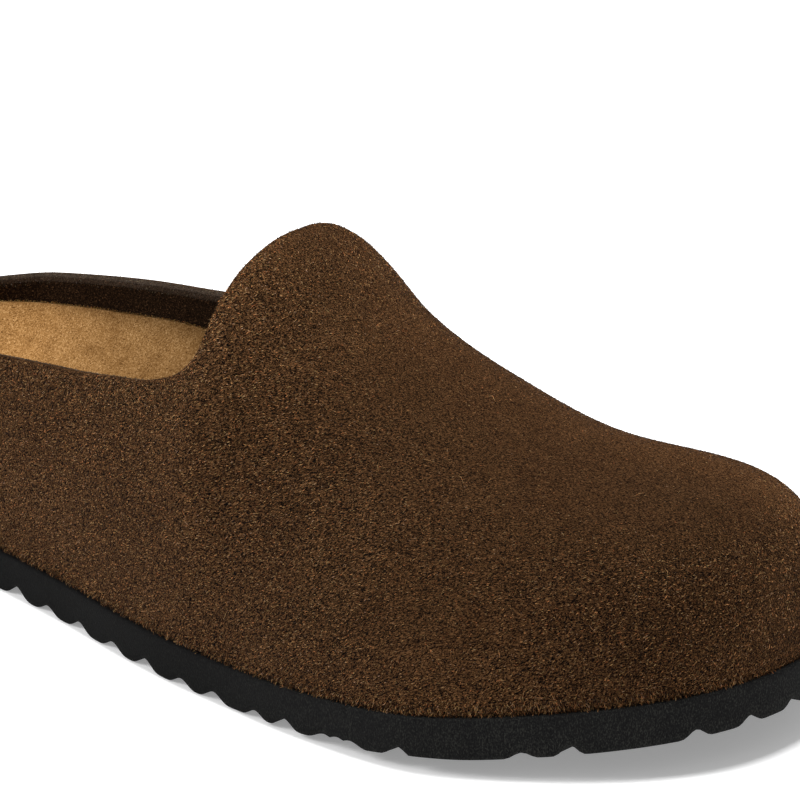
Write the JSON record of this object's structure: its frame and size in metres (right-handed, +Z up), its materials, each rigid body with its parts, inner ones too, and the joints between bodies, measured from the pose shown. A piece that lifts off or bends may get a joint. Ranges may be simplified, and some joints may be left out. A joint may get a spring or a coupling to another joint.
{
  "type": "clog",
  "caption": "Closed-toe suede clog for a right foot: low open collar, rounded vamp, contoured insole and a thick foam sole with cross bars.",
  "frame": {"origin": "on the floor, at the middle of the shoe's length and width", "axes": "+X from heel to toe, +Y to the inner side of the foot, +Z up"},
  "size_m": [0.28, 0.109, 0.0967],
  "materials": {
    "foam": "matt closed-cell foam, near black, very fine moulded grain",
    "footbed_suede": "tan suede with a short even nap",
    "upper_suede": "dark brown suede with a long brushed nap, lighter at the fibre tips"
  },
  "bodies": {
    "root": {"outsole": "foam", "insole": "footbed_suede", "upper": "upper_suede"}
  },
  "joints": []
}
